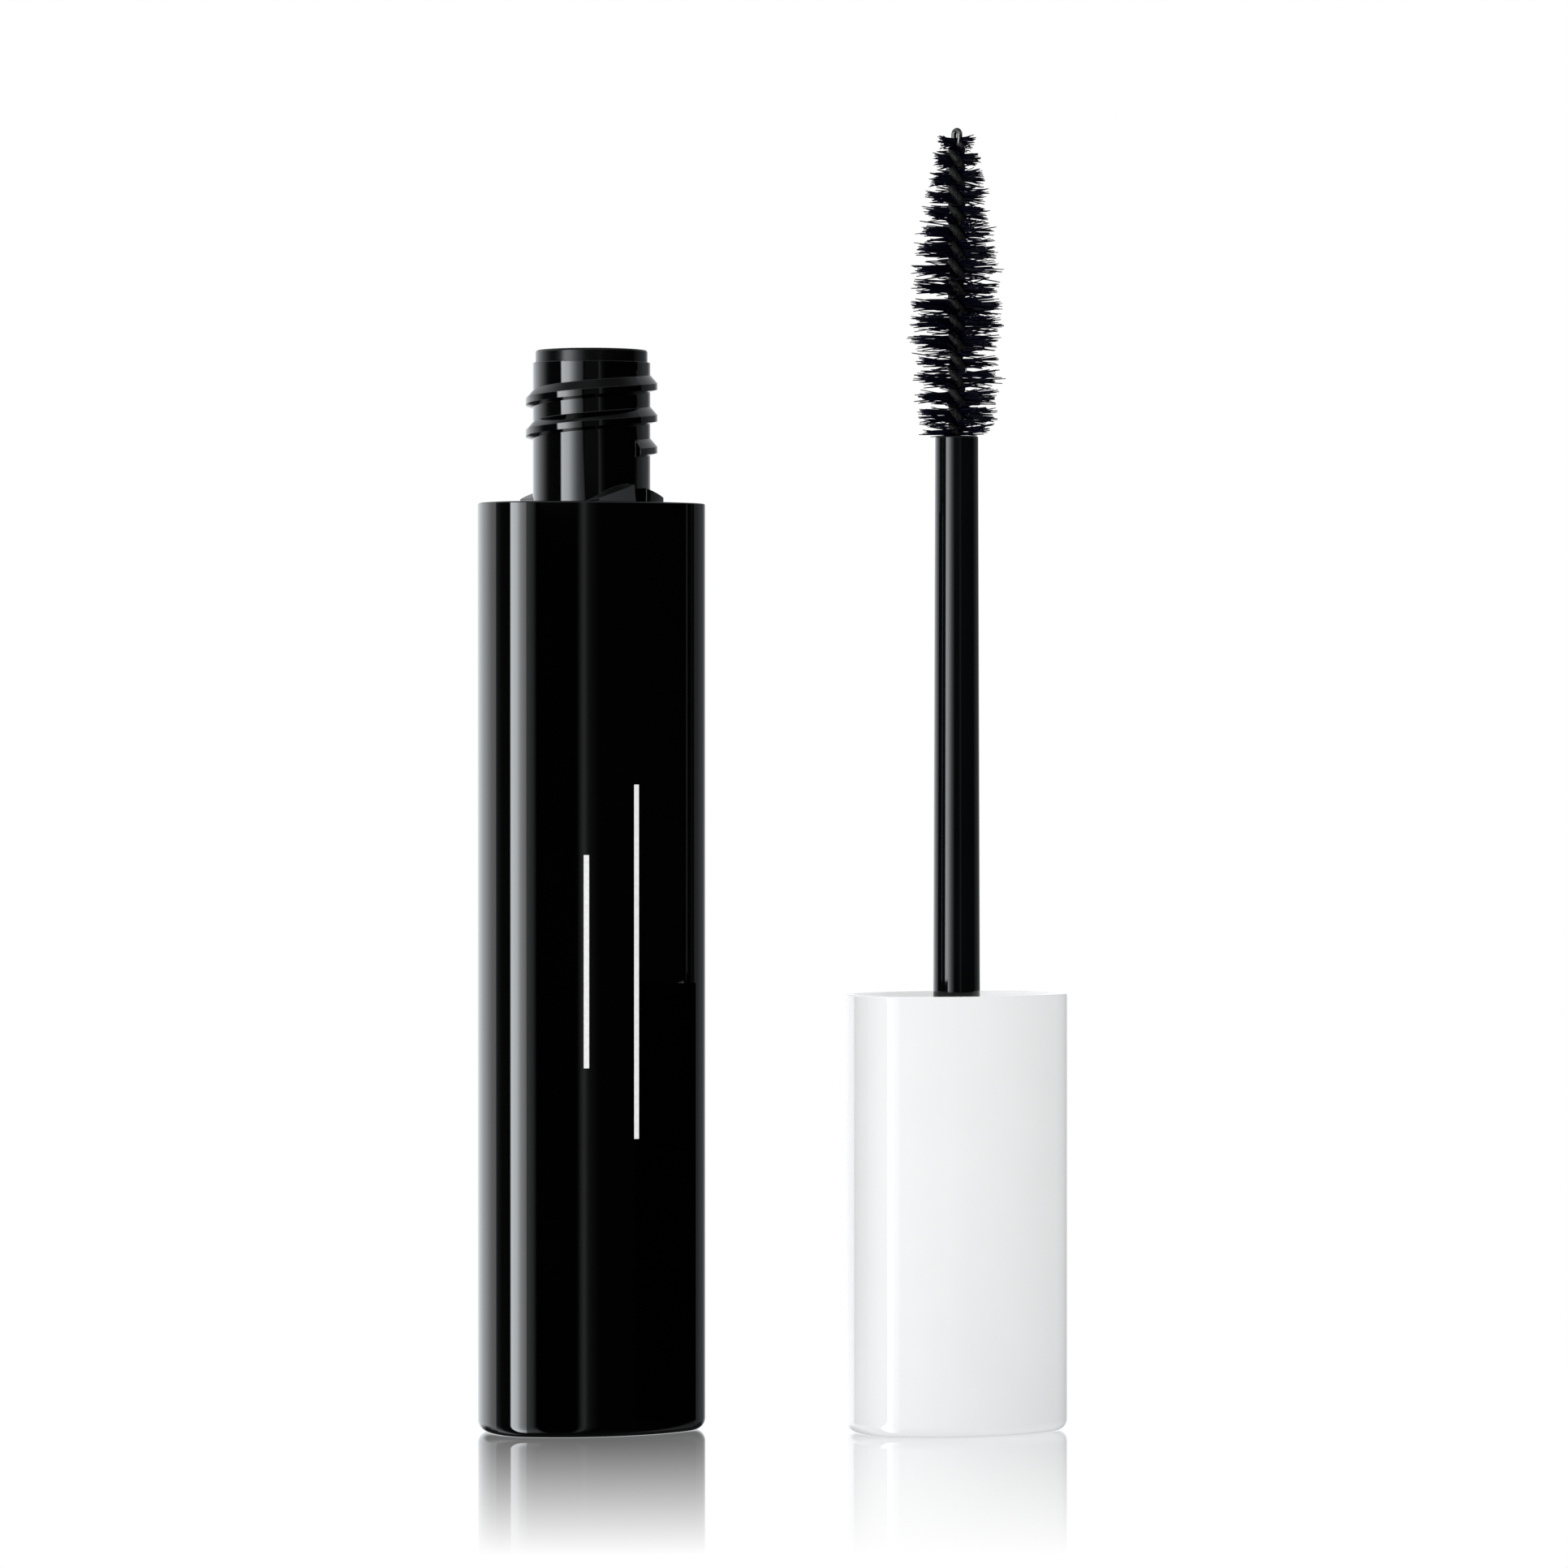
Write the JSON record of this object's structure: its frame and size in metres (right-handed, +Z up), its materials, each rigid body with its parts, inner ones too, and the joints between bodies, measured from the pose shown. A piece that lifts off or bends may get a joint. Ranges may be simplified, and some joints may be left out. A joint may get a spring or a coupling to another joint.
{
  "type": "mascara tube",
  "caption": "Opened mascara: pillow-section bottle with threaded neck and wiper, and a separate cap with stem and twisted-wire brush standing upside down beside it.",
  "frame": {"origin": "centre of the bottle's base, where the bottle stands", "axes": "+Z up along the bottle's axis, +X along the long side of the bottle's section"},
  "size_m": [0.049, 0.0252, 0.1124],
  "materials": {
    "sleeve_plastic": "high gloss black",
    "bottle_plastic": "gloss black",
    "wiper_plastic": "soft satin black",
    "paste": "wet black paste",
    "cap_plastic": "high gloss white",
    "liner_plastic": "satin white",
    "washer_foam": "fine foam",
    "stem_plastic": "gloss black",
    "wire_steel": "drawn wire",
    "bristle_nylon": "black nylon fibres"
  },
  "bodies": {
    "bottle": {"outer_sleeve": "sleeve_plastic", "inner_bottle": "bottle_plastic", "wiper": "wiper_plastic", "mascara_formula": "paste"},
    "washer": {"seal_washer": "washer_foam"},
    "applicator": {"cap_shell": "cap_plastic", "inner_cap": "liner_plastic", "stem": "stem_plastic", "wire_core": "wire_steel", "bristles": "bristle_nylon"}
  },
  "joints": [
    {"name": "applicator_lift", "type": "slide", "parent": "bottle", "child": "washer", "axis": [0, 0, 1], "range_m": [0, 0.0886]},
    {"name": "cap_twist", "type": "hinge", "parent": "washer", "child": "applicator", "pos_m": [0.02941, -0.01129, 0], "axis": [0, 0, -1], "range_deg": [0, 680]}
  ]
}
